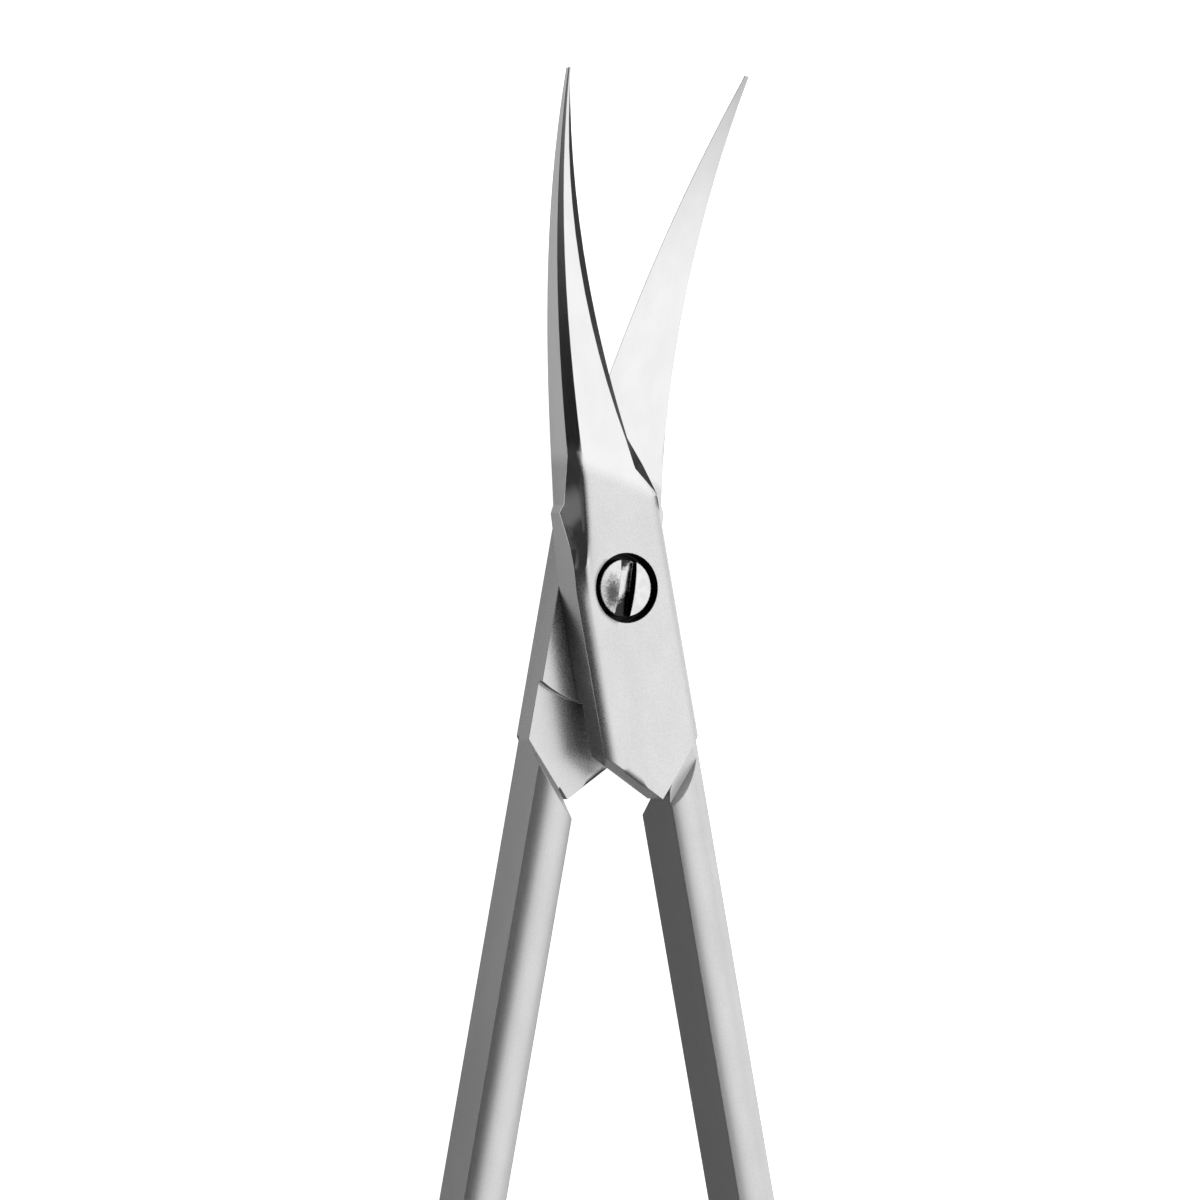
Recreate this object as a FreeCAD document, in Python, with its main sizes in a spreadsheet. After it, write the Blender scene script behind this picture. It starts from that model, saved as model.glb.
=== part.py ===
"""Cuticle scissors: two forged steel halves that cross at a slotted pivot screw.

Each half is drawn closed, in its own frame: the pivot axis is Z, the blade points to +Y, the parting
plane is Z = 0 and the outer face of the half looks to +Z. The front half keeps that frame and is
turned open. The rear half is the same forging turned over, with the blade bowed the other way.
The finished pair lies on its back: the back of the rear joint plate is at Z = 0.
"""
import FreeCAD, Part
import math
import os
import Sketcher

from FreeCAD import Vector

# Driving sizes in millimetres and degrees.
SIZES = {
    # pose
    "open_half_angle": 11.0,
    # joint plate
    "plate_half_width": 2.7,
    "plate_thickness": 2.05,
    "plate_corner_reach": 8.05,
    "plate_shoulder_reach": 4.27,
    "plate_spine_inset": 0.25,
    "plate_ridge_reach": 6.5,
    "plate_ridge_side": 1.15,
    "plate_edge_inset": 0.1,
    "plate_roll_width": 0.8,
    "plate_roll_drop": 0.25,
    # lap joint
    "lap_gap": 0.06,
    "bearing_radius": 5.9,
    "bearing_rise": 0.4,
    "stop_clearance": 0.1,
    # shank
    "shank_width": 2.16,
    "shank_inner_top": 1.85,
    "shank_inner_bottom": 1.45,
    "shank_outer_top": 1.51,
    "shank_outer_bottom": 1.1,
    "shank_crown_rise": 0.35,
    "shank_end_reach": 32.0,
    "valley_near_depth": 0.08,
    "valley_depth": 0.34,
    "valley_width": 0.6,
    "valley_slope_angle": 50.0,
    "shank_head_slope_angle": 62.0,
    # finger ring
    "ring_bottom_reach": 72.0,
    "ring_hole_width": 17.0,
    "ring_hole_length": 21.0,
    "ring_bar_width": 2.6,
    "ring_bar_height": 3.4,
    "ring_crown_rise": 0.5,
    "ring_side_gap": 0.35,
    "ring_crotch_radius": 2.5,
    "ring_web_height": 2.6,
    "ring_neck_length": 4.0,
    # blade
    "blade_root_reach": 4.2,
    "blade_tip_reach": 25.9,
    "blade_flat_radius": 6.5,
    "blade_bow_radius": 38.0,
    "blade_root_thickness": 2.35,
    "blade_tip_thickness": 0.3,
    "spine_tip_offset": 0.2,
    "spine_taper": 1.68,
    "spine_root_flare": 0.42,
    "spine_chamfer_root": 0.78,
    "spine_chamfer_tip": 0.06,
    "spine_chamfer_angle": 22.0,
    "edge_tip_offset": 0.05,
    "edge_taper": 2.37,
    "edge_root_flare": 0.6,
    "edge_heel_inset": 0.03,
    "bevel_tip_width": 0.12,
    "bevel_growth": 2.7,
    "bevel_root_loss": 1.7,
    "face_rise_angle": 9.0,
    # heel of the blade, where the bevel runs out in a scoop above a short wall
    "heel_wall_height": 1.9,
    "heel_length": 2.95,
    "heel_bevel_width": 0.2,
    "heel_scoop_length": 1.2,
    # relief ground on the spine corner, where the plate becomes the blade
    "relief_start_reach": 0.3,
    "relief_deep_reach": 4.5,
    "relief_end_reach": 8.0,
    "relief_start_drop": 0.5,
    "relief_deep_width": 0.92,
    "relief_deep_drop": 1.45,
    "relief_end_drop": 0.62,
    "relief_bulge": 0.13,
    # pivot screw
    "screw_head_radius": 1.43,
    "screw_head_height": 0.8,
    "screw_dome_rise": 0.2,
    "screw_stem_radius": 1.0,
    "screw_end_inset": 0.1,
    "screw_end_chamfer": 0.15,
    "screw_slot_width": 0.86,
    "screw_slot_depth": 0.55,
    "screw_slot_lean": 8.0,
    "screw_seat_gap": 0.03,
    "counterbore_radius": 1.75,
    "counterbore_depth": 0.95,
    "bore_clearance": 0.04,
    "thread_clearance": 0.02,
}

BLADE_SECTIONS = 7
HEEL_SECTIONS = 4
# The heel's sections crowd towards its root by this power.
HEEL_CROWDING = 1.6
# The blank reaches below the inner face by this share of its thickness.
UNDER_SHARE = 0.25
# The relief leaves the plate's roll and the spine's chamfer at this share of their size.
RUN_OUT = 0.7
HALF_WAY = 0.5
NECK_SECTIONS = 4
# Slope of the V end of the joint plate.
VEE_ANGLE = 45.0
# A cut reaches this many times past the faces that it opens, or this little past one that it trims.
CLEAR_THROUGH = 4
OVERCUT = 1.02


class Size:
    """A length or an angle, with its number and the expression that ties it to the sheet."""

    def __init__(self, number, text):
        self.number = number
        self.text = text

    def __add__(self, other):
        other = as_size(other)
        return Size(self.number + other.number, "(%s + %s)" % (self.text, other.text))

    def __radd__(self, other):
        return as_size(other) + self

    def __sub__(self, other):
        other = as_size(other)
        return Size(self.number - other.number, "(%s - %s)" % (self.text, other.text))

    def __rsub__(self, other):
        return as_size(other) - self

    def __mul__(self, other):
        other = as_size(other)
        return Size(self.number * other.number, "(%s * %s)" % (self.text, other.text))

    def __rmul__(self, other):
        return as_size(other) * self

    def __truediv__(self, other):
        other = as_size(other)
        return Size(self.number / other.number, "(%s / %s)" % (self.text, other.text))

    def __neg__(self):
        return Size(-self.number, "(-1 * %s)" % self.text)


def as_size(value):
    """Wraps a plain number as a Size."""
    if isinstance(value, Size):
        return value
    return Size(float(value), "(%r)" % float(value))


def root(size):
    """Square root of a Size."""
    return Size(math.sqrt(size.number), "sqrt(%s)" % size.text)


def not_below_zero(size):
    """The Size itself, or nothing where it is negative."""
    return Size(max(size.number, 0.0), "max(%s; 0)" % size.text)


def smaller(first, second):
    """The smaller of two Sizes."""
    first = as_size(first)
    return Size(min(first.number, second.number), "min(%s; %s)" % (first.text, second.text))


def tangent(angle):
    """Tangent of an angle in degrees."""
    return Size(math.tan(math.radians(angle.number)), "tan(%s)" % angle.text)


def mix(first, last, share):
    """The Size that lies a share of the way from first to last."""
    return first + (last - first) * share


def write_sheet(doc):
    """Writes the driving sizes to the sheet and returns them as Sizes."""
    sheet = doc.addObject("Spreadsheet::Sheet", "Sizes")
    sizes = {}
    for row, (alias, number) in enumerate(SIZES.items(), start=1):
        sheet.set("A%d" % row, alias.replace("_", " "))
        sheet.set("B%d" % row, str(number))
        sheet.setAlias("B%d" % row, alias)
        sizes[alias] = Size(number, "Sizes." + alias)
    doc.recompute()
    return sizes


def bind(thing, name, size):
    """Ties one property of an object to the sheet."""
    thing.setExpression(name, as_size(size).text)


def origin_plane(body, role):
    """Finds one of the body's own origin planes."""
    return next(item for item in body.Origin.OriginFeatures if item.Role == role)


def new_sketch(body, name, role, offset=0.0):
    """Starts a sketch on an origin plane, moved along the plane's normal."""
    sketch = body.newObject("Sketcher::SketchObject", name)
    sketch.AttachmentSupport = [(origin_plane(body, role), "")]
    sketch.MapMode = "FlatFace"
    bind(sketch, "AttachmentOffset.Base.z", offset)
    return sketch


def pin(sketch, geometry, position, corner):
    """Ties one end of a sketch line or arc to its place."""
    for kind, size in zip(("DistanceX", "DistanceY"), corner):
        index = sketch.addConstraint(
            Sketcher.Constraint(kind, -1, 1, geometry, position, size.number)
        )
        sketch.setExpression("Constraints[%d]" % index, size.text)


def arc_between(start, end, radius, turn):
    """The shorter arc from start to end: turn is 1 to go round anticlockwise and -1 clockwise."""
    chord = end - start
    side = Vector(-chord.y, chord.x, 0).normalize() * turn
    depth = math.sqrt(max(radius ** 2 - (chord.Length / 2) ** 2, 0.0))
    centre = (start + end) / 2 + side * depth
    first, last = (start, end) if turn > 0 else (end, start)
    angle_first = math.atan2(first.y - centre.y, first.x - centre.x)
    angle_last = math.atan2(last.y - centre.y, last.x - centre.x)
    if angle_last < angle_first:
        angle_last += 2 * math.pi
    circle = Part.Circle(centre, Vector(0, 0, 1), radius)
    return Part.ArcOfCircle(circle, angle_first, angle_last)


def closed_outline(sketch, corners, arcs=None):
    """Draws a closed outline through the corners.

    arcs gives (radius, turn) for each edge that is round, by the number of the corner it leaves.
    """
    arcs = arcs or {}
    corners = [tuple(as_size(value) for value in corner) for corner in corners]
    points = [Vector(x.number, y.number, 0) for x, y in corners]
    ends = []
    for index, start in enumerate(points):
        end = points[(index + 1) % len(points)]
        if index in arcs:
            radius, turn = arcs[index]
            geometry = sketch.addGeometry(arc_between(start, end, radius.number, turn), False)
            ends.append((geometry, 1, 2) if turn > 0 else (geometry, 2, 1))
        else:
            geometry = sketch.addGeometry(Part.LineSegment(start, end), False)
            ends.append((geometry, 1, 2))
    for index, (geometry, first, last) in enumerate(ends):
        following, start, _ = ends[(index + 1) % len(ends)]
        sketch.addConstraint(Sketcher.Constraint("Coincident", geometry, last, following, start))
        pin(sketch, geometry, first, corners[index])
        if index in arcs:
            radius = arcs[index][0]
            place = sketch.addConstraint(Sketcher.Constraint("Radius", geometry, radius.number))
            sketch.setExpression("Constraints[%d]" % place, radius.text)


def circle_outline(sketch, radius):
    """Draws a circle about the sketch's origin."""
    geometry = sketch.addGeometry(Part.Circle(Vector(), Vector(0, 0, 1), radius.number), False)
    sketch.addConstraint(Sketcher.Constraint("Coincident", geometry, 3, -1, 1))
    index = sketch.addConstraint(Sketcher.Constraint("Radius", geometry, radius.number))
    sketch.setExpression("Constraints[%d]" % index, radius.text)


def extrude(body, kind, name, sketch, length, reverse=False, both_ways=False):
    """Adds a Pad or a Pocket of a given length."""
    feature = body.newObject("PartDesign::" + kind, name)
    feature.Profile = sketch
    bind(feature, "Length", length)
    feature.Reversed = reverse
    feature.Midplane = both_ways
    body.Document.recompute()
    return feature


def loft(body, kind, name, sketches, ruled=False):
    """Adds a loft through sketches in order, smooth or with straight runs between them."""
    feature = body.newObject("PartDesign::" + kind, name)
    feature.Profile = sketches[0]
    feature.Sections = sketches[1:]
    feature.Ruled = ruled
    body.Document.recompute()
    return feature


def must_cut(feature, before):
    """Stops the build if a cut removed nothing."""
    if feature.Shape.Volume > before - 1e-4:
        raise RuntimeError("%s removed nothing" % feature.Name)


class Half:
    """One half of the scissors: finger ring, shank, joint plate and blade, forged in one piece."""

    def __init__(self, doc, sizes, name, bow):
        self.doc = doc
        self.size = sizes
        self.name = name
        self.bow = bow
        self.body = doc.addObject("PartDesign::Body", name)
        self.body.Label = name

    def sketch(self, name, role, offset=0.0):
        """Starts a sketch of this half under a name of its own."""
        return new_sketch(self.body, "%s_%s" % (self.name, name), role, offset)

    def feature_name(self, name):
        """Name of a feature of this half."""
        return "%s_%s" % (self.name, name)

    def volume(self):
        """Volume made so far."""
        return self.body.Shape.Volume

    def ring_frame(self):
        """Place of the finger ring: near side, arc centre, ends of the straight sides, two radii."""
        s = self.size
        inner_radius = s["ring_hole_width"] / 2
        outer_radius = inner_radius + s["ring_bar_width"]
        near = s["ring_side_gap"]
        centre = near + outer_radius
        low = outer_radius - s["ring_bottom_reach"]
        high = low + s["ring_hole_length"] - s["ring_hole_width"]
        return near, centre, low, high, inner_radius, outer_radius

    def crotch_reach(self):
        """Height at which the web between ring and neck ends."""
        _, _, _, high, inner_radius, outer_radius = self.ring_frame()
        crotch = self.size["ring_crotch_radius"]
        long_side = outer_radius + crotch
        short_side = inner_radius - crotch
        return high + root(long_side * long_side - short_side * short_side)

    def bar_walls(self, near):
        """Corners of the ring bar's section, which starts at near."""
        s = self.size
        far = near + s["ring_bar_width"]
        top = s["ring_bar_height"] / 2 - s["ring_crown_rise"]
        return [(near, -top), (near, top), (far, top), (far, -top)]

    def crowned_outline(self, sketch, corners, rise):
        """Draws a section with two straight walls and a crowned top and bottom."""
        low_inner, top_inner, top_outer, low_outer = corners
        top_radius = self.crown_radius(top_inner, top_outer, rise)
        low_radius = self.crown_radius(low_outer, low_inner, rise)
        closed_outline(sketch, corners, {1: (top_radius, -1), 3: (low_radius, -1)})

    def crown_radius(self, start, end, rise):
        """Radius of the arc from start to end that rises so far above their chord."""
        across = end[0] - start[0]
        along = end[1] - start[1]
        return ((across * across + along * along) / 4 + rise * rise) / (rise * 2)

    def make_bar(self, name, near, low, length):
        """Straight side of the ring."""
        sketch = self.sketch(name + "_section", "XZ_Plane", -low)
        self.crowned_outline(sketch, self.bar_walls(near), self.size["ring_crown_rise"])
        extrude(self.body, "Pad", self.feature_name(name), sketch, length, reverse=True)

    def make_bend(self, name, height, over_top):
        """Round end of the ring, turned about an axis at the given height."""
        _, centre, _, _, _, outer_radius = self.ring_frame()
        sketch = self.sketch(name + "_section", "XZ_Plane", -height)
        bind(sketch, "AttachmentOffset.Base.x", centre)
        self.crowned_outline(sketch, self.bar_walls(-outer_radius), self.size["ring_crown_rise"])
        bend = self.body.newObject("PartDesign::Revolution", self.feature_name(name))
        bend.Profile = sketch
        bend.ReferenceAxis = (sketch, ["V_Axis"])
        bend.Angle = 180.0
        bend.Reversed = over_top
        self.doc.recompute()

    def make_web(self):
        """Web that fills the crotch between the ring and its neck."""
        s = self.size
        near, centre, _, high, inner_radius, outer_radius = self.ring_frame()
        crotch = s["ring_crotch_radius"]
        crotch_y = self.crotch_reach()
        wall = near + s["ring_bar_width"]
        share = outer_radius / (outer_radius + crotch)
        touch = (centre + (wall + crotch - centre) * share, high + (crotch_y - high) * share)
        middle = inner_radius + s["ring_bar_width"] / 2
        depth = middle / outer_radius
        inside = (centre + (touch[0] - centre) * depth, high + (touch[1] - high) * depth)
        sketch = self.sketch("web_outline", "XY_Plane", -s["ring_web_height"] / 2)
        closed_outline(
            sketch,
            [(centre - middle, crotch_y), (centre - middle, high), inside, touch, (wall, crotch_y)],
            {1: (middle, -1), 3: (crotch, -1)},
        )
        extrude(self.body, "Pad", self.feature_name("web"), sketch, s["ring_web_height"])

    def make_ring(self):
        """Oval finger ring of a crowned bar, with the neck that leaves it."""
        s = self.size
        near, centre, low, high, inner_radius, _ = self.ring_frame()
        neck_y = self.crotch_reach() + s["ring_neck_length"]
        self.make_bar("ring_near_side", near, low, neck_y - low)
        self.make_bend("ring_bottom", low, False)
        self.make_bar("ring_far_side", centre + inner_radius, low, high - low)
        self.make_bend("ring_top", high, True)
        self.make_web()

    def shank_walls(self):
        """Corners of the shank's section: inner wall bottom and top, outer wall top and bottom."""
        s = self.size
        outer = s["plate_half_width"]
        inner = outer - s["shank_width"]
        return [
            (inner, -s["shank_inner_bottom"]),
            (inner, s["shank_inner_top"]),
            (outer, s["shank_outer_top"]),
            (outer, -s["shank_outer_bottom"]),
        ]

    def make_shank(self):
        """Straight crowned shank, cut off at the lap and hollowed where it leaves the plate."""
        s = self.size
        section = self.sketch("shank_section", "XZ_Plane", s["shank_end_reach"])
        self.crowned_outline(section, self.shank_walls(), s["shank_crown_rise"])
        length = s["shank_end_reach"] - s["plate_corner_reach"] + s["valley_width"]
        extrude(self.body, "Pad", self.feature_name("shank"), section, length, reverse=True)
        self.cut_valley()
        self.cut_lap_wall()
        self.bevel_shank_head()

    def cut_valley(self):
        """Shallow valley along the V line between the plate's flat and the shank's crown."""
        s = self.size
        before = self.volume()
        near = s["plate_thickness"] - s["valley_near_depth"]
        floor = s["plate_thickness"] - s["valley_depth"]
        top = s["plate_thickness"] * 2
        slope = (top - floor) / tangent(s["valley_slope_angle"])
        vee = self.vee_distance()
        sketch = self.turned_sketch("valley_section", -VEE_ANGLE)
        closed_outline(
            sketch,
            [(0, top), (0, near), (vee, near), (vee + s["valley_width"], floor),
             (vee + s["valley_width"] + slope, top)],
        )
        pocket = extrude(self.body, "Pocket", self.feature_name("valley"), sketch,
                         s["plate_corner_reach"] * CLEAR_THROUGH, both_ways=True)
        must_cut(pocket, before)

    def bevel_shank_head(self):
        """Slopes the head of the shank back from the lap, where the other plate stops."""
        s = self.size
        before = self.volume()
        wall = self.vee_distance() + s["stop_clearance"]
        low = s["plate_thickness"] * 2
        foot = s["lap_gap"] / 2 + s["bearing_rise"]
        slope = (low + foot) / tangent(s["shank_head_slope_angle"])
        sketch = self.turned_sketch("shank_head_section", -VEE_ANGLE)
        closed_outline(
            sketch,
            [(0, -low), (wall + slope, -low), (wall, foot), (0, foot)],
        )
        pocket = extrude(self.body, "Pocket", self.feature_name("shank_head"), sketch,
                         s["plate_corner_reach"] * CLEAR_THROUGH, both_ways=True)
        must_cut(pocket, before)

    def turned_sketch(self, name, angle):
        """Starts an upright sketch through the pivot axis, turned about it."""
        sketch = self.sketch(name, "XZ_Plane")
        sketch.AttachmentOffset = FreeCAD.Placement(
            Vector(), FreeCAD.Rotation(Vector(0, 1, 0), angle)
        )
        return sketch

    def vee_distance(self):
        """Distance from the pivot to either side of the V."""
        s = self.size
        return (s["plate_corner_reach"] + s["plate_half_width"]) / math.sqrt(2)

    def vee_corners(self, clearance):
        """Left end, vertex and right end of the V line, moved away from the pivot."""
        s = self.size
        side = s["plate_half_width"] * 2
        vertex = -(s["plate_corner_reach"] + s["plate_half_width"]) - clearance * math.sqrt(2)
        return (-side, vertex + side), (0, vertex), (side, vertex + side)

    def cut_lap_wall(self):
        """Clears the back of the shank's head down to the lap, where the other plate closes."""
        s = self.size
        before = self.volume()
        left, vertex, right = self.vee_corners(s["stop_clearance"])
        above = s["plate_thickness"] * 2
        sketch = self.sketch("lap_wall", "XY_Plane", s["lap_gap"] / 2)
        closed_outline(sketch, [vertex, right, (right[0], above), (left[0], above), left])
        pocket = extrude(self.body, "Pocket", self.feature_name("lap"), sketch,
                         s["plate_thickness"] * 2)
        must_cut(pocket, before)

    def make_plate(self):
        """Flat joint plate with a V end, and the rolled edges of its outer face."""
        s = self.size
        half = s["plate_half_width"]
        corner = -s["plate_corner_reach"]
        vertex = corner - half
        spine = half - s["plate_spine_inset"]
        edge = half - s["plate_edge_inset"]
        shoulder = s["plate_shoulder_reach"]
        sketch = self.sketch("plate_outline", "XY_Plane", s["lap_gap"] / 2)
        closed_outline(
            sketch,
            [(-half, corner), (0, vertex), (half, corner), (half, shoulder - s["plate_edge_inset"] * 2),
             (edge, shoulder), (-s["plate_ridge_side"], s["plate_ridge_reach"]),
             (-spine, shoulder), (-half, s["relief_start_reach"])],
        )
        extrude(self.body, "Pad", self.feature_name("plate"), sketch,
                s["plate_thickness"] - s["lap_gap"] / 2)
        self.roll_plate_edges()
        self.cut_recess()

    def roll_plate_edges(self):
        """Rolls both long edges of the plate's outer face over an arc."""
        s = self.size
        width = s["plate_roll_width"]
        drop = s["plate_roll_drop"]
        radius = (width * width + drop * drop) / (drop * 2)
        top = s["plate_thickness"]
        half = s["plate_half_width"]
        for name, side in (("spine_roll", -1), ("edge_roll", 1)):
            before = self.volume()
            sketch = self.sketch(name, "XZ_Plane")
            closed_outline(
                sketch,
                [((half - width) * side, top), (half * side, top - drop), (half * side, top)],
                {0: (radius, -side)},
            )
            pocket = extrude(self.body, "Pocket", self.feature_name(name), sketch,
                             s["ring_bottom_reach"] * 2, both_ways=True)
            must_cut(pocket, before)

    def cut_recess(self):
        """Lowers the lap flat round the bearing disc, up to the V line."""
        s = self.size
        before = self.volume()
        _, vertex, _ = self.vee_corners(s["stop_clearance"])
        radius = s["bearing_radius"]
        side = (radius + s["plate_half_width"]) / 2
        arc_y = -root(radius * radius - side * side)
        rise = vertex[1] + side
        sketch = self.sketch("recess", "XY_Plane", s["lap_gap"] / 2 + s["bearing_rise"])
        closed_outline(
            sketch,
            [(-side, arc_y), (0, -radius), (side, arc_y), (side, rise), vertex, (-side, rise)],
            {0: (radius, 1), 1: (radius, 1)},
        )
        pocket = extrude(self.body, "Pocket", self.feature_name("recess_cut"), sketch,
                         s["plate_thickness"])
        must_cut(pocket, before)

    def neck_section(self, index):
        """Section of the neck on its way from the shank's section to the ring bar's."""
        s = self.size
        share = index / (NECK_SECTIONS - 1)
        blend = share * share * (3 - 2 * share)
        pairs = zip(self.shank_walls(), self.bar_walls(s["ring_side_gap"]))
        corners = [(mix(a[0], b[0], blend), mix(a[1], b[1], blend)) for a, b in pairs]
        rise = mix(s["shank_crown_rise"], s["ring_crown_rise"], blend)
        neck_y = self.crotch_reach() + s["ring_neck_length"]
        reach = mix(s["shank_end_reach"], -neck_y, share)
        sketch = self.sketch("neck_section_%d" % index, "XZ_Plane", reach)
        self.crowned_outline(sketch, corners, rise)
        return sketch

    def make_neck(self):
        """Carries the shank's section smoothly into the ring's."""
        sketches = [self.neck_section(index) for index in range(NECK_SECTIONS)]
        self.doc.recompute()
        loft(self.body, "AdditiveLoft", self.feature_name("neck"), sketches)

    def bow_height(self, reach):
        """Height of the blade's inner face above the parting plane at a distance from the pivot."""
        s = self.size
        beyond = not_below_zero(reach - s["blade_flat_radius"])
        radius = s["blade_bow_radius"]
        return (radius - root(radius * radius - beyond * beyond)) * self.bow

    def spine_offset(self, left):
        """Distance of the blade's spine from the middle line, where left is the share up to the tip."""
        s = self.size
        flare = s["spine_root_flare"] * (left * left * left * left)
        return s["spine_tip_offset"] + s["spine_taper"] * left + flare

    def spine_chamfer(self, left):
        """Width and drop of the chamfer along the blade's spine."""
        s = self.size
        width = mix(s["spine_chamfer_tip"], s["spine_chamfer_root"], left)
        return width, width * tangent(s["spine_chamfer_angle"])

    def edge_offset(self, left):
        """Distance of the cutting edge from the middle line, no wider than the plate."""
        s = self.size
        free = s["edge_tip_offset"] + s["edge_taper"] * left + s["edge_root_flare"] * (left * left)
        return smaller(free, s["plate_half_width"] - s["edge_heel_inset"])

    def edge_bevel(self, reach, left):
        """Width of the edge bevel, and height of the wall that is left under it at the heel."""
        s = self.size
        full = s["bevel_tip_width"] + s["bevel_growth"] * left - s["bevel_root_loss"] * (left * left)
        past_root = reach - s["blade_root_reach"]
        scoop = smaller(1, past_root / s["heel_scoop_length"])
        wall = not_below_zero(1 - past_root / s["heel_length"])
        return mix(s["heel_bevel_width"], full, scoop), s["heel_wall_height"] * wall

    def share_left(self, reach):
        """Share of the blade's length that is left up to the tip."""
        s = self.size
        return (s["blade_tip_reach"] - reach) / (s["blade_tip_reach"] - s["blade_root_reach"])

    def blade_section(self, name, reach):
        """Six-sided section of the blade: spine wall, chamfer, outer face, bevel, heel wall, underside."""
        s = self.size
        left = self.share_left(reach)
        spine = self.spine_offset(left)
        edge = self.edge_offset(left)
        thick = mix(s["blade_tip_thickness"], s["blade_root_thickness"], left)
        chamfer, drop = self.spine_chamfer(left)
        bevel, wall = self.edge_bevel(reach, left)
        base = self.bow_height(reach)
        under = s["blade_root_thickness"] * UNDER_SHARE
        sketch = self.sketch(name, "XZ_Plane", -reach)
        closed_outline(
            sketch,
            [(-spine, base - under), (-spine, base + thick - drop),
             (-spine + chamfer, base + thick), (edge - bevel, base + thick),
             (edge, base + wall), (edge, base - under)],
        )
        return sketch

    def make_blade(self):
        """Blade blank with its heel, ground from below to a dished inner face that turns about the pivot."""
        s = self.size
        heel_end = s["blade_root_reach"] + s["heel_length"]
        heel = []
        for index in range(HEEL_SECTIONS):
            share = (index / (HEEL_SECTIONS - 1)) ** HEEL_CROWDING
            reach = mix(s["blade_root_reach"], heel_end, share)
            heel.append(self.blade_section("heel_section_%d" % index, reach))
        blade = []
        for index in range(BLADE_SECTIONS):
            reach = mix(heel_end, s["blade_tip_reach"], index / (BLADE_SECTIONS - 1))
            blade.append(self.blade_section("blade_section_%d" % index, reach))
        self.doc.recompute()
        loft(self.body, "AdditiveLoft", self.feature_name("heel"), heel, ruled=True)
        loft(self.body, "AdditiveLoft", self.feature_name("blade"), blade)
        before = self.volume()
        flat = s["blade_flat_radius"]
        lap = s["lap_gap"] / 2
        bow = s["blade_bow_radius"]
        reach = s["blade_tip_reach"] + s["plate_thickness"]
        beyond = reach - flat
        rise = (bow - root(bow * bow - beyond * beyond)) * self.bow
        floor = -s["blade_tip_reach"]
        sketch = self.sketch("inner_face", "XZ_Plane")
        closed_outline(
            sketch,
            [(s["counterbore_radius"], floor), (reach, floor), (reach, lap + rise), (flat, lap),
             (s["counterbore_radius"], lap)],
            {2: (bow, -self.bow)},
        )
        groove = self.body.newObject("PartDesign::Groove", self.feature_name("inner_face_cut"))
        groove.Profile = sketch
        groove.ReferenceAxis = (sketch, ["V_Axis"])
        groove.Angle = 180.0
        groove.Reversed = False
        self.doc.recompute()
        must_cut(groove, before)

    def ridge_line(self):
        """Turn and distance from the pivot of the line where the plate's face ends."""
        s = self.size
        edge = s["plate_half_width"] - s["plate_edge_inset"]
        across = edge + s["plate_ridge_side"]
        along = s["plate_ridge_reach"] - s["plate_shoulder_reach"]
        length = root(across * across + along * along)
        reach = (edge * along + s["plate_shoulder_reach"] * across) / length
        return math.degrees(math.atan2(across.number, along.number)), reach

    def blend_face(self):
        """Grinds the root of the blade's outer face down to the plate, along the slanted ridge line.

        The face of a half that is bowed away from its plate stays flush, so that the pair lies flat.
        """
        s = self.size
        before = self.volume()
        turn, reach = self.ridge_line()
        run = s["blade_tip_reach"] / 2
        top = s["plate_thickness"]
        above = top * CLEAR_THROUGH
        rise = run * tangent(s["face_rise_angle"]) * max(self.bow, 0)
        sketch = self.turned_sketch("face_blend_section", turn)
        closed_outline(
            sketch,
            [(0, top), (reach, top), (reach + run, top + rise), (reach + run, above), (0, above)],
        )
        pocket = extrude(self.body, "Pocket", self.feature_name("face_blend"), sketch,
                         s["plate_ridge_reach"] * 2, both_ways=True)
        must_cut(pocket, before)

    def relief_stations(self):
        """Reach, side, width and drop of the relief, from the plate to the blade."""
        s = self.size
        start = s["relief_start_reach"]
        deep = s["relief_deep_reach"]
        end = s["relief_end_reach"]
        half = s["plate_half_width"]
        narrow = half - s["plate_spine_inset"]
        stations = [
            (start, half, s["plate_roll_width"] * RUN_OUT, s["plate_roll_drop"] * RUN_OUT),
            (mix(start, deep, HALF_WAY), mix(half, narrow, HALF_WAY),
             mix(s["plate_roll_width"], s["relief_deep_width"], HALF_WAY), s["relief_start_drop"]),
            (deep, narrow, s["relief_deep_width"], s["relief_deep_drop"]),
        ]
        between = mix(deep, end, HALF_WAY)
        left = self.share_left(between)
        width, _ = self.spine_chamfer(left)
        stations.append((between, self.spine_offset(left), width, s["relief_end_drop"]))
        left = self.share_left(end)
        width, drop = self.spine_chamfer(left)
        stations.append((end, self.spine_offset(left), width * RUN_OUT, drop * RUN_OUT))
        return stations

    def cut_relief(self):
        """Relief ground on the spine corner, deepest where the plate becomes the blade."""
        s = self.size
        over = s["plate_roll_width"]
        top = s["plate_thickness"]
        above = top * OVERCUT
        sketches = []
        for index, (reach, side, width, drop) in enumerate(self.relief_stations()):
            sketch = self.sketch("relief_section_%d" % index, "XZ_Plane", -reach)
            slope = drop / width
            edge = width - side
            low = (-side - over, top - drop - over * slope)
            high = (edge + (above - top) / slope, above)
            radius = self.crown_radius(low, high, s["relief_bulge"])
            closed_outline(sketch, [(-side - over, above), low, high], {1: (radius, -1)})
            sketches.append(sketch)
        self.doc.recompute()
        before = self.volume()
        cut = loft(self.body, "SubtractiveLoft", self.feature_name("relief"), sketches, ruled=True)
        must_cut(cut, before)

    def bore(self, name, radius, offset, length, reverse=False):
        """Cuts a round hole on the pivot axis."""
        before = self.volume()
        sketch = self.sketch(name, "XY_Plane", offset)
        circle_outline(sketch, radius)
        pocket = extrude(self.body, "Pocket", self.feature_name(name + "_cut"), sketch, length, reverse)
        must_cut(pocket, before)

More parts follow.
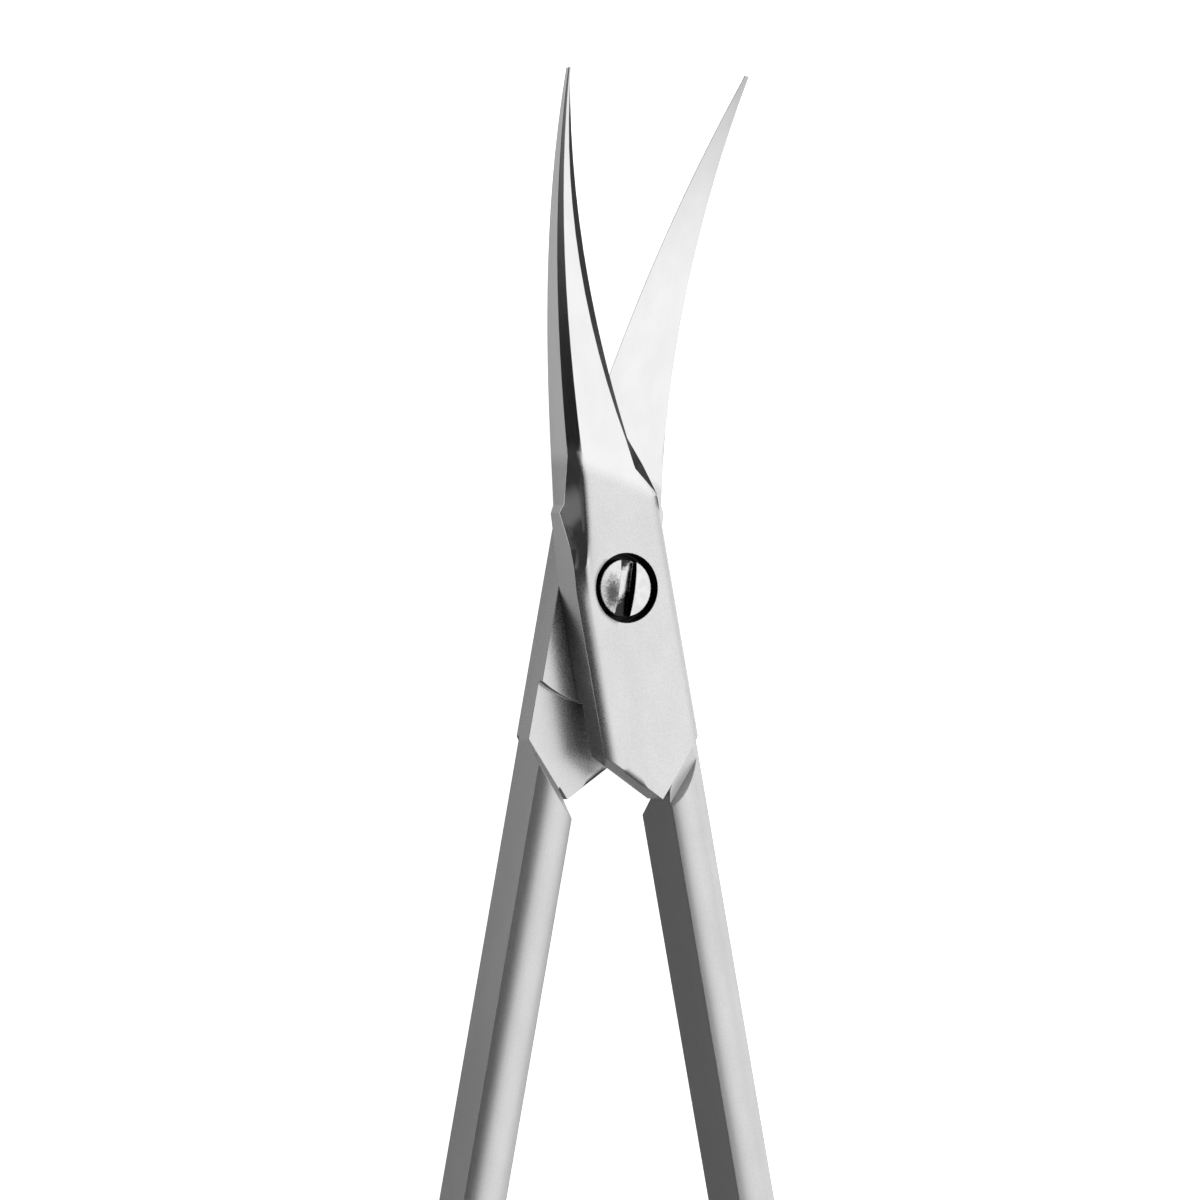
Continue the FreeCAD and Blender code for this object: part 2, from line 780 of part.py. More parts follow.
    def build(self):
        """Makes every feature of the half in the order in which it is forged and ground."""
        self.make_ring()
        self.make_shank()
        self.make_plate()
        self.make_neck()
        self.make_blade()
        self.blend_face()


def make_front_half(doc, sizes):
    """Half that lies on top, bored for the screw's stem and counterbored for its head."""
    half = Half(doc, sizes, "front_half", 1)
    half.build()
    half.bore("stem_bore", sizes["screw_stem_radius"] + sizes["bore_clearance"],
              sizes["plate_thickness"], sizes["plate_thickness"] * 2)
    half.bore("head_bore", sizes["counterbore_radius"], sizes["plate_thickness"],
              sizes["counterbore_depth"])
    half.cut_relief()
    half.body.setExpression(
        "Placement",
        "placement(vector(0; 0; Sizes.plate_thickness);"
        " rotation(vector(0; 0; 1); Sizes.open_half_angle))",
    )
    return half.body


def make_rear_half(doc, sizes):
    """Half that lies underneath, turned over, with the hole that holds the screw's thread."""
    half = Half(doc, sizes, "rear_half", -1)
    half.build()
    half.bore("thread_bore", sizes["screw_stem_radius"] + sizes["thread_clearance"],
              sizes["plate_thickness"], sizes["plate_thickness"] * 2)
    half.cut_relief()
    half.body.setExpression(
        "Placement",
        "placement(vector(0; 0; Sizes.plate_thickness);"
        " rotation(vector(sin(Sizes.open_half_angle / 2); cos(Sizes.open_half_angle / 2); 0); 180))",
    )
    return half.body


def make_pivot_screw(doc, sizes):
    """Slotted screw with a low domed head; its stem runs in one half and threads into the other."""
    s = sizes
    body = doc.addObject("PartDesign::Body", "pivot_screw")
    body.Label = "pivot_screw"
    seat = s["plate_thickness"] - s["counterbore_depth"] + s["screw_seat_gap"]
    rim = seat + s["screw_head_height"]
    crown = rim + s["screw_dome_rise"]
    head = s["screw_head_radius"]
    stem = s["screw_stem_radius"]
    low = s["screw_end_inset"] - s["plate_thickness"]
    chamfer = s["screw_end_chamfer"]
    rise = s["screw_dome_rise"]
    dome = (head * head + rise * rise) / (rise * 2)
    profile = new_sketch(body, "screw_profile", "XZ_Plane")
    closed_outline(
        profile,
        [(0, low), (stem - chamfer, low), (stem, low + chamfer), (stem, seat), (head, seat),
         (head, rim), (0, crown)],
        {5: (dome, 1)},
    )
    turned = body.newObject("PartDesign::Revolution", "screw_turned")
    turned.Profile = profile
    turned.ReferenceAxis = (profile, ["V_Axis"])
    turned.Angle = 360.0
    doc.recompute()
    slot = new_sketch(body, "screw_slot", "XZ_Plane")
    slot.AttachmentOffset = FreeCAD.Placement(Vector(), FreeCAD.Rotation(Vector(0, 1, 0), 0))
    slot.setExpression("AttachmentOffset.Rotation.Angle", "-Sizes.screw_slot_lean")
    half_slot = s["screw_slot_width"] / 2
    floor = crown - s["screw_slot_depth"]
    top = crown + rise
    closed_outline(slot, [(-half_slot, floor), (half_slot, floor), (half_slot, top), (-half_slot, top)])
    before = turned.Shape.Volume
    cut = extrude(body, "Pocket", "screw_slot_cut", slot, head * CLEAR_THROUGH, both_ways=True)
    must_cut(cut, before)
    body.setExpression(
        "Placement",
        "placement(vector(0; 0; Sizes.plate_thickness); rotation(vector(0; 0; 1); 0))",
    )
    return body


def check_document(doc, bodies):
    """Stops if any object failed or any piece isn't one valid solid."""
    for item in doc.Objects:
        if "Invalid" in item.State or "Error" in item.State:
            raise RuntimeError("%s failed: %s" % (item.Name, item.State))
    for body in bodies:
        shape = body.Shape
        if shape.isNull() or not shape.isValid() or len(shape.Solids) != 1:
            raise RuntimeError("%s is not one valid solid" % body.Label)


def main():
    """Builds the three pieces and writes one file for each."""
    os.makedirs("parts", exist_ok=True)
    doc = FreeCAD.newDocument("cuticle_scissors")
    sizes = write_sheet(doc)
    bodies = [make_front_half(doc, sizes), make_rear_half(doc, sizes), make_pivot_screw(doc, sizes)]
    doc.recompute()
    check_document(doc, bodies)
    for body in bodies:
        body.Shape.exportStep(os.path.join("parts", body.Label + ".step"))
        box = body.Shape.BoundBox
        print("%s: %.1f mm3, x %.2f to %.2f, y %.2f to %.2f, z %.2f to %.2f" % (
            body.Label, body.Shape.Volume, box.XMin, box.XMax, box.YMin, box.YMax, box.ZMin, box.ZMax))


main()
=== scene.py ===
"""Looks of the cuticle scissors: dressed steel halves, a polished pivot screw and a small studio.

Every piece is a dressed copy of its solid: welded, smoothed and given a procedural finish that follows
the half's own frame, in which the pivot is the origin, +Y runs to the tip and +Z is the outer face.
"""
import logging
import math
from dataclasses import dataclass, field
from enum import Enum
from typing import Dict, List, NamedTuple, Tuple, Union

import bpy
from mathutils import Euler, Matrix, Vector


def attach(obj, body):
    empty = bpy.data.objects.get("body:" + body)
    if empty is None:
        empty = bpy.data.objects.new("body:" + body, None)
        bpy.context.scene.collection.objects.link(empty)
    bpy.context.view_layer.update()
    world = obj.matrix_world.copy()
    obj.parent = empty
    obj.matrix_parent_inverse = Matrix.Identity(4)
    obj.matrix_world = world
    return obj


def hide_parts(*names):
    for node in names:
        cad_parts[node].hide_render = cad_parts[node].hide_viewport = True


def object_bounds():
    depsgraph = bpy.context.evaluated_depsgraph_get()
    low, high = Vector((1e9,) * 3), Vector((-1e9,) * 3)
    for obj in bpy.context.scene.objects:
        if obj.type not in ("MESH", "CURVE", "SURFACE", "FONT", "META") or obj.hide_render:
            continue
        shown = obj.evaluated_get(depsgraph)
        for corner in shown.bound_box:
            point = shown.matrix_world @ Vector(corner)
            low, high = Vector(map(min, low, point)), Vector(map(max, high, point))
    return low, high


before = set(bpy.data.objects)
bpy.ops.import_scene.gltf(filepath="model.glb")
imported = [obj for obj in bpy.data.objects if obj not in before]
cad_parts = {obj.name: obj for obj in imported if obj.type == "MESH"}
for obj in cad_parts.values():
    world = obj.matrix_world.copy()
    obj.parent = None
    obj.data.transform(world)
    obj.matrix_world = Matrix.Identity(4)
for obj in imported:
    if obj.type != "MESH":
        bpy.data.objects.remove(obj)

CAD_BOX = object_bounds()
MM = 0.001
WELD_DISTANCE = 1e-7

Socket = bpy.types.NodeSocket
Value = Union[Socket, float]
Triple = Tuple[float, float, float]

log = logging.getLogger("cuticle_scissors")


class Span(NamedTuple):
    """Two numbers between which something changes softly, the first of which may be the larger."""

    start: float
    end: float

    def moved(self, way: float) -> "Span":
        """Moves both numbers the same way."""
        return Span(self.start + way, self.end + way)


FULL = Span(0.0, 1.0)
NOISE = Span(0.3, 0.7)
NOISE_ROUGHNESS = 0.6


class Side(Enum):
    """Which half of the pair a finish is laid out for."""

    FRONT = "front"
    REAR = "rear"


@dataclass(frozen=True)
class SteelFinish:
    """Ground and polished steel of a half.

    Attributes:
        plate_tone: Linear grey of the blasted joint plate and of the shank.
        blade_tone: Linear grey of the polished blade.
        wall_painted_shade: Linear grey of the side walls, darkened as painted shade.
        shade_wall_tone: Linear grey of the wall that looks at the other shank, painted as the shade between
            the shanks.
        spine_wall_painted_light: Linear grey of the spine side of the plate, below the screw, lifted above
            the other walls as painted light.
        neck_wall_painted_shade: Linear grey of the same side beside the screw and above it, darkened as
            painted shade.
        bevel_dark_reflection: Linear grey of the bevel along the cutting edge, painted dark as a reflection
            of a dark room; it also darkens the bevel's sheen.
        bore_painted_shade: Linear grey of the painted shade in the recess round the screw's head.
        brow_shade_share: Share of the shank's tone that the outer brow of its crown keeps under its painted
            shade.
        chamfer_shade_share: Share of the blade's tone that the chamfer along its spine keeps under its
            painted shade.
        vee_shade_share: Share of the wall's tone that the V end of the plate keeps under its painted shade.
        vee_reflection_share: Share of the bevel's painted dark reflection that the V end takes.
        wall_loss: Share of its tone that the outer wall loses, at the plate and near the ring.
        plate_roughness: Roughness of the blasted joint plate.
        shank_roughness: Roughness of the satin shank and ring.
        blade_roughness: Roughness of the polished blade.
        bevel_roughness: Roughness of the ground bevel along the cutting edge.
        satin_spread: How far the grain changes the roughness of the satin faces.
        polish_spread: How far the brush lines change the roughness of the blade.
        grain_per_mm: Grains of the blasted face in a millimetre.
        grain_detail: Octaves of that grain.
        brush_per_mm: Brush lines in a millimetre along each axis.
        brush_detail: Octaves of the brush lines.
        brush_share: Share of the brush lines in the shank's grain.
        cloud_per_mm: Clouds of the faint haze in a millimetre along each axis.
        cloud_detail: Octaves of the haze.
        shade_spread: Factors that the grain puts on the tone.
        haze_spread: Factors that the haze puts on the tone.
        grain_height: Height of the grain in metres.
        plate_relief: Strength of the grain on satin faces.
        blade_relief: Strength of the grain on the blade.
        edge_radius: Radius in metres to which sharp edges are broken.
        roll_radius: Radius in metres of the soft edge where the plate's face rolls over to its spine side.
        ring_radius: Radius in metres to which the edges of the finger ring are polished round.
        edge_samples: Samples that round the edges.
        roll_tilt: How far the face leans where it rolls over into the relief, as a slope.
    """

    plate_tone: float = 0.60
    blade_tone: float = 0.71
    wall_painted_shade: float = 0.25
    shade_wall_tone: float = 0.06
    spine_wall_painted_light: float = 0.50
    neck_wall_painted_shade: float = 0.18
    bevel_dark_reflection: float = 0.16
    bore_painted_shade: float = 0.015
    brow_shade_share: float = 0.82
    chamfer_shade_share: float = 0.35
    vee_shade_share: float = 0.25
    vee_reflection_share: float = 0.35
    wall_loss: Span = Span(0.30, 0.45)
    plate_roughness: float = 0.30
    shank_roughness: float = 0.44
    blade_roughness: float = 0.15
    bevel_roughness: float = 0.35
    satin_spread: Span = Span(-0.04, 0.04)
    polish_spread: Span = Span(-0.02, 0.03)
    grain_per_mm: Triple = (14.0, 14.0, 14.0)
    grain_detail: float = 2.0
    brush_per_mm: Triple = (9.0, 0.35, 9.0)
    brush_detail: float = 4.0
    brush_share: float = 0.25
    cloud_per_mm: Triple = (0.5, 0.25, 0.5)
    cloud_detail: float = 3.0
    shade_spread: Span = Span(0.93, 1.07)
    haze_spread: Span = Span(0.97, 1.03)
    grain_height: float = 0.004 * MM
    plate_relief: float = 0.45
    blade_relief: float = 0.02
    edge_radius: float = 0.05 * MM
    roll_radius: float = 0.6 * MM
    ring_radius: float = 0.9 * MM
    edge_samples: int = 8
    roll_tilt: float = 0.26


@dataclass(frozen=True)
class HalfLayout:
    """Where the finishes of a half begin and end.

    Lengths are in millimetres of the half's own frame. The spans whose names end in facing are parts of
    the unit normal in that frame.

    Attributes:
        ridge_normal: Direction across the line where the polished blade begins.
        ridge_reach: Distance of that line from the pivot.
        blade_start: Start of the polished blade, from the ridge on.
        bevel_start: Start of the edge bevel, from the ridge on.
        chamfer_start: Start of the dark chamfer, from the ridge on.
        ridge_band: Distance to either side of the ridge that is rounded softly.
        ridge_height: Height of the face that is rounded there.
        plate_height: Height of the plate's outer face over the parting plane.
        bearing_radius: Radius of the bearing disc on the lap.
        disc_rim: Start of the polish on the inner face, from the disc's rim on.
        inner_start: The same along the half.
        relief_slope: Lean of the line between the plate's face and the relief.
        relief_side: Place of that line beside the pivot.
        relief_edge: Start of the relief's polish, from the line on.
        relief_start: The same along the half.
        relief_roll: Width of the soft roll along that line.
        relief_roll_start: Start of the roll along the half.
        relief_roll_height: Height of the face that rolls over.
        relief_roll_end: End of the roll, from the ridge on.
        spine_roll_outer: Outer limit of the soft edge on the plate's spine side.
        spine_roll_inner: Inner limit of that edge.
        spine_roll_end: End of that edge, from the ridge on.
        vee_reach: Distance of the plate's V point from the pivot.
        shank_start: Start of the shank's finish past the V line.
        vee_limit: Place along the half below which nothing counts as the V end.
        bore_radius: Radius of the recess round the screw's head.
        bore_rim: Start of the painted shade in the recess, from its wall on.
        bore_depth: The same, from the plate's face down.
        ring_start: Place along the half where the finger ring's finish takes over.
        wall_fade: Place along the half where the outer wall darkens.
        neck_fade: Place along the half where the plate's spine side darkens.
        outer_reach: Distance of the shank's outer wall from the half's middle.
        brow: Width of the crown's outer brow, from that wall on.
        outer_facing: Faces that belong to the outer side.
        flat_facing: Faces that aren't walls.
        bevel_facing: Faces that belong to the bevel.
        chamfer_facing: Faces that belong to the chamfer, by how far they look aside.
        chamfer_up_facing: The same, by how far they look up.
        vee_facing: Walls that belong to the V end.
        inner_wall_facing: Walls that look at the other shank.
        outer_wall_facing: Walls that look outwards.
        plate_wall_facing: Walls of the plate's spine side.
    """

    ridge_normal: Tuple[float, float] = (0.511, 0.860)
    ridge_reach: float = 5.00
    blade_start: Span = Span(-0.55, 0.35)
    bevel_start: Span = Span(-0.8, -0.4)
    chamfer_start: Span = Span(0.0, 1.0)
    ridge_band: Span = Span(0.6, 0.4)
    ridge_height: Span = Span(1.9, 2.0)
    plate_height: float = 2.05
    bearing_radius: float = 5.9
    disc_rim: Span = Span(-0.25, 0.25)
    inner_start: Span = Span(0.0, 1.0)
    relief_slope: float = 0.104
    relief_side: float = -1.93
    relief_edge: Span = Span(0.05, -0.15)
    relief_start: Span = Span(0.3, 2.0)
    relief_roll: Span = Span(0.75, -0.45)
    relief_roll_start: Span = Span(-0.4, 1.6)
    relief_roll_height: Span = Span(1.88, 2.0)
    relief_roll_end: Span = Span(0.5, -0.9)
    spine_roll_outer: Span = Span(-1.95, -1.6)
    spine_roll_inner: Span = Span(-0.7, -0.95)
    spine_roll_end: Span = Span(1.4, -0.4)
    vee_reach: float = 10.75
    shank_start: Span = Span(0.0, 0.3)
    vee_limit: Span = Span(-13.0, -12.0)
    bore_radius: float = 1.75
    bore_rim: Span = Span(0.05, -0.03)
    bore_depth: Span = Span(-0.02, -0.1)
    ring_start: Span = Span(-31.0, -47.0)
    wall_fade: Span = Span(-12.0, -30.0)
    neck_fade: Span = Span(-4.0, -1.0)
    outer_reach: float = 2.7
    brow: Span = Span(-0.6, 0.0)
    outer_facing: Span = Span(-0.2, 0.2)
    flat_facing: Span = Span(0.10, 0.75)
    bevel_facing: Span = Span(0.35, 0.50)
    chamfer_facing: Span = Span(-0.20, -0.32)
    chamfer_up_facing: Span = Span(0.6, 0.8)
    vee_facing: Span = Span(-0.45, -0.65)
    inner_wall_facing: Span = Span(-0.5, -0.8)
    outer_wall_facing: Span = Span(0.5, 0.8)
    plate_wall_facing: Span = Span(-0.75, -0.95)


@dataclass(frozen=True)
class ScrewFinish:
    """Turned and polished steel of the pivot screw, with a painted dark reflection on its head and painted
    shade in its slot. Lengths are in millimetres.

    Attributes:
        tone: Linear grey of the polished head.
        tone_spread: How far wear changes that grey.
        dark_reflection_tone: Linear grey of the painted dark reflection on the head.
        slot_shade_tone: Linear grey of the painted shade on the slot's walls and of the painted shadow at
            both ends of its floor.
        slot_shade_tint: Share of the sheen that is left in the slot under its painted shade.
        roughness: Roughness of the head.
        roughness_spread: How far wear changes that roughness.
        edge_radius: Radius in metres to which the edges are broken.
        edge_samples: Samples that round the edges.
        wear_per_mm: Marks of wear in a millimetre.
        wear_detail: Octaves of the wear.
        speck_per_mm: Specks in a millimetre of the noise that makes the rims of the painted marks ragged.
        speck_detail: Octaves of the specks.
        dark_reflection_middle: Middle of the painted dark reflection.
        dark_reflection_size: Half-width and half-length of the painted dark reflection.
        dark_reflection_fade: Distances from the middle, in sizes, at which the painted dark reflection ends
            and is full.
        dark_reflection_share: Share of the painted dark reflection's tone at its rim and in its middle.
        dark_reflection_ragged: How far the specks push the painted dark reflection's rim in and out.
        slot_wall_facing: Faces that are walls of the slot, by how far they look up.
        slot_wall_radius: Distance from the axis inside which such faces lie in the slot.
        slot_floor_height: Height below which the slot's floor lies.
        slot_limit: Height below which nothing counts as the slot.
        shadow_ragged: How far the specks push the rim of the painted shadow on the slot's floor in and out.
        shadow_slope: Slant of that shadow's rim.
        shadow_middle: Place across the slot about which the rim slants.
        shadow_low: Where the painted shadow at the lower end starts and is full.
        shadow_high: Where the painted shadow at the upper end starts and is full.
    """

    tone: float = 0.66
    tone_spread: Span = Span(-0.05, 0.05)
    dark_reflection_tone: float = 0.07
    slot_shade_tone: float = 0.03
    slot_shade_tint: float = 0.3
    roughness: float = 0.16
    roughness_spread: Span = Span(-0.04, 0.06)
    edge_radius: float = 0.08 * MM
    edge_samples: int = 6
    wear_per_mm: Triple = (2.5, 2.5, 2.5)
    wear_detail: float = 4.0
    speck_per_mm: Triple = (9.0, 9.0, 9.0)
    speck_detail: float = 3.0
    dark_reflection_middle: Tuple[float, float] = (-0.78, -0.28)
    dark_reflection_size: Tuple[float, float] = (0.56, 1.1)
    dark_reflection_fade: Span = Span(1.2, 0.2)
    dark_reflection_share: Span = Span(0.0, 0.96)
    dark_reflection_ragged: Span = Span(-0.16, 0.16)
    slot_wall_facing: Span = Span(0.5, 0.3)
    slot_wall_radius: Span = Span(1.40, 1.34)
    slot_floor_height: Span = Span(3.75, 3.65)
    slot_limit: Span = Span(3.2, 3.3)
    shadow_ragged: Span = Span(-0.12, 0.12)
    shadow_slope: float = 0.9
    shadow_middle: float = 0.15
    shadow_low: Span = Span(0.0, -0.5)
    shadow_high: Span = Span(0.85, 1.2)


class ShaderBench:
    """Lays out the nodes of one material or of the world."""

    def __init__(self, tree: bpy.types.NodeTree) -> None:
        """Empties the tree of a material or of the world."""
        self.tree = tree
        self.tree.nodes.clear()

    def add(self, kind: str, **settings: object) -> bpy.types.Node:
        """Adds a node and sets its properties.

        Args:
            kind: Blender's name of the node's type.
            settings: Properties of the node.

        Returns:
            The new node.
        """
        node = self.tree.nodes.new(kind)
        for name, value in settings.items():
            setattr(node, name, value)
        return node

    def feed(self, socket: Socket, value: object) -> None:
        """Links a socket to another, or sets it to a plain value.

        Args:
            socket: Input that is fed.
            value: Socket or value that feeds it.
        """
        if isinstance(value, bpy.types.NodeSocket):
            self.tree.links.new(value, socket)
        else:
            socket.default_value = value

    def math(self, operation: str, *values: Value, clamp: bool = False) -> Socket:
        """Does a sum on numbers or sockets.

        Args:
            operation: Name of the operation.
            values: Its inputs in order.
            clamp: Whether the result is kept between 0 and 1.

        Returns:
            The socket with the result.
        """
        node = self.add("ShaderNodeMath", operation=operation, use_clamp=clamp)
        for socket, value in zip(node.inputs, values):
            self.feed(socket, value)
        return node.outputs[0]

    def chain(self, operation: str, first: Value, *others: Value) -> Value:
        """Does the same sum on any count of numbers, one after the other.

        Args:
            operation: Name of the operation.
            first: First number.
            others: The numbers that follow.

        Returns:
            The result.
        """
        total = first
        for value in others:
            total = self.math(operation, total, value)
        return total

    def product(self, *values: Value) -> Value:
        """Multiplies numbers or masks."""
        return self.chain("MULTIPLY", *values)

    def most(self, *values: Value) -> Value:
        """Takes the largest of numbers or masks."""
        return self.chain("MAXIMUM", *values)

    def reach(self, x: Value, y: Value) -> Socket:
        """Distance from the origin of a plane."""
        return self.math("SQRT", self.math("ADD", self.product(x, x), self.product(y, y)))

    def ramp(self, value: Value, span: Span, to: Tuple[Value, Value] = FULL) -> Socket:
        """Maps a span softly onto another.

        Args:
            value: Number to map.
            span: Where the ramp starts and ends.
            to: Result at the start and at the end.

        Returns:
            The socket with the result.
        """
        node = self.add("ShaderNodeMapRange", interpolation_type="SMOOTHSTEP")
        for name, number in (("Value", value), ("From Min", span[0]), ("From Max", span[1]),
                             ("To Min", to[0]), ("To Max", to[1])):
            self.feed(node.inputs[name], number)
        return node.outputs["Result"]

    def blend(self, share: Value, first: Value, last: Value) -> Socket:
        """Mixes two numbers by a share.

        Args:
            share: Share of the last number.
            first: Result where the share is 0.
            last: Result where the share is 1.

        Returns:
            The socket with the mix.
        """
        node = self.add("ShaderNodeMix", data_type="FLOAT")
        self.feed(node.inputs[0], share)
        self.feed(node.inputs[2], first)
        self.feed(node.inputs[3], last)
        return node.outputs[0]

    def grey(self, tone: Value) -> Socket:
        """Turns a number into a neutral colour.

        Args:
            tone: Linear grey.

        Returns:
            The socket with the colour.
        """
        node = self.add("ShaderNodeCombineColor")
        for socket in node.inputs[:3]:
            self.feed(socket, tone)
        return node.outputs[0]

    def parts(self, vector: Socket) -> Tuple[Socket, Socket, Socket]:
        """Takes a vector apart.

        Args:
            vector: Vector to take apart.

        Returns:
            The sockets with its three numbers.
        """
        node = self.add("ShaderNodeSeparateXYZ")
        self.feed(node.inputs[0], vector)
        return node.outputs[0], node.outputs[1], node.outputs[2]

    def noise(self, where: Socket, per_mm: Triple, detail: float) -> Socket:
        """Fine noise, stretched along the axes.

        Args:
            where: Coordinates in millimetres.
            per_mm: Grains in a millimetre along each axis.
            detail: Octaves of the noise.

        Returns:
            The socket with the noise, about 0.5 on average.
        """
        stretch = self.add("ShaderNodeVectorMath", operation="MULTIPLY")
        self.feed(stretch.inputs[0], where)
        stretch.inputs[1].default_value = per_mm
        node = self.add("ShaderNodeTexNoise")
        node.inputs["Scale"].default_value = 1.0
        node.inputs["Detail"].default_value = detail
        node.inputs["Roughness"].default_value = NOISE_ROUGHNESS
        self.feed(node.inputs["Vector"], stretch.outputs[0])
        return node.outputs[0]

    def leaned(self, normal: Socket, lean: Vector, share: Value) -> Socket:
        """Leans a normal over in a direction of the piece.

        Args:
            normal: Normal before the lean.
            lean: Direction and slope of the full lean, as the piece lies.
            share: Share of the lean that is taken.

        Returns:
            The socket with the leaned normal.
        """
        turn = self.add("ShaderNodeVectorTransform", vector_type="VECTOR",
                        convert_from="OBJECT", convert_to="WORLD")
        turn.inputs[0].default_value = lean
        tilt = self.add("ShaderNodeVectorMath", operation="SCALE")
        self.feed(tilt.inputs[0], turn.outputs[0])
        self.feed(tilt.inputs["Scale"], share)
        total = self.add("ShaderNodeVectorMath", operation="ADD")
        self.feed(total.inputs[0], normal)
        self.feed(total.inputs[1], tilt.outputs[0])
        unit = self.add("ShaderNodeVectorMath", operation="NORMALIZE")
        self.feed(unit.inputs[0], total.outputs[0])
        return unit.outputs[0]

    def round_edge(self, radius: Value, samples: int) -> Socket:
        """Normal with its sharp edges broken.

        Args:
            radius: Radius of the edges in metres.
            samples: Samples that round them.

        Returns:
            The socket with the normal.
        """
        node = self.add("ShaderNodeBevel", samples=samples)
        self.feed(node.inputs["Radius"], radius)
        return node.outputs[0]

    def finish_steel(self, tone: Value, roughness: Value, tint: Value, normal: Socket) -> None:
        """Ends the material with bare steel.

        Args:
            tone: Linear grey of the steel.
            roughness: Its roughness.
            tint: Grey of its sheen at a low angle.
            normal: Its normal.
        """
        steel = self.add("ShaderNodeBsdfPrincipled")
        steel.inputs["Metallic"].default_value = 1.0
        self.feed(steel.inputs["Base Color"], self.grey(tone))
        self.feed(steel.inputs["Roughness"], roughness)
        self.feed(steel.inputs["Specular Tint"], self.grey(tint))
        self.feed(steel.inputs["Normal"], normal)
        out = self.add("ShaderNodeOutputMaterial")
        self.feed(out.inputs["Surface"], steel.outputs[0])


@dataclass(frozen=True)
class HalfPlace:
    """Where a point of a half lies and which way it faces, as sockets.

    Attributes:
        where: Place in the half's own frame, in millimetres.
        x: Place across the half.
        y: Place along the half.
        z: Height over the parting plane.
        side: Part of the normal across the half.
        ahead: Part of the normal along the half.
        up: Part of the normal away from the parting plane.
        past_ridge: Distance past the line where the polished blade begins.
        radius: Distance from the pivot's axis.
        off_relief: Distance from the relief's edge, across the half.
    """

    where: Socket
    x: Socket
    y: Socket
    z: Socket
    side: Socket
    ahead: Socket
    up: Socket
    past_ridge: Socket
    radius: Socket
    off_relief: Socket


@dataclass(frozen=True)
class HalfMasks:
    """Which finish a point of a half has, as shares from 0 to 1.

    Attributes:
        outer_blade: Outer side of the blade.
        blade: Polished faces.
        shank: Shank and finger ring.
        flat: Faces that aren't walls.
        bevel: Bevel along the cutting edge.
        chamfer: Chamfer along the blade's spine.
        vee: V end of the plate.
        bore: Recess round the screw's head.
        ring: Finger ring.
        off_ring: Everything but the finger ring.
        crown: Crown of the shank.
    """

    outer_blade: Socket
    blade: Socket
    shank: Socket
    flat: Socket
    bevel: Socket
    chamfer: Socket
    vee: Socket
    bore: Socket
    ring: Socket
    off_ring: Socket
    crown: Socket


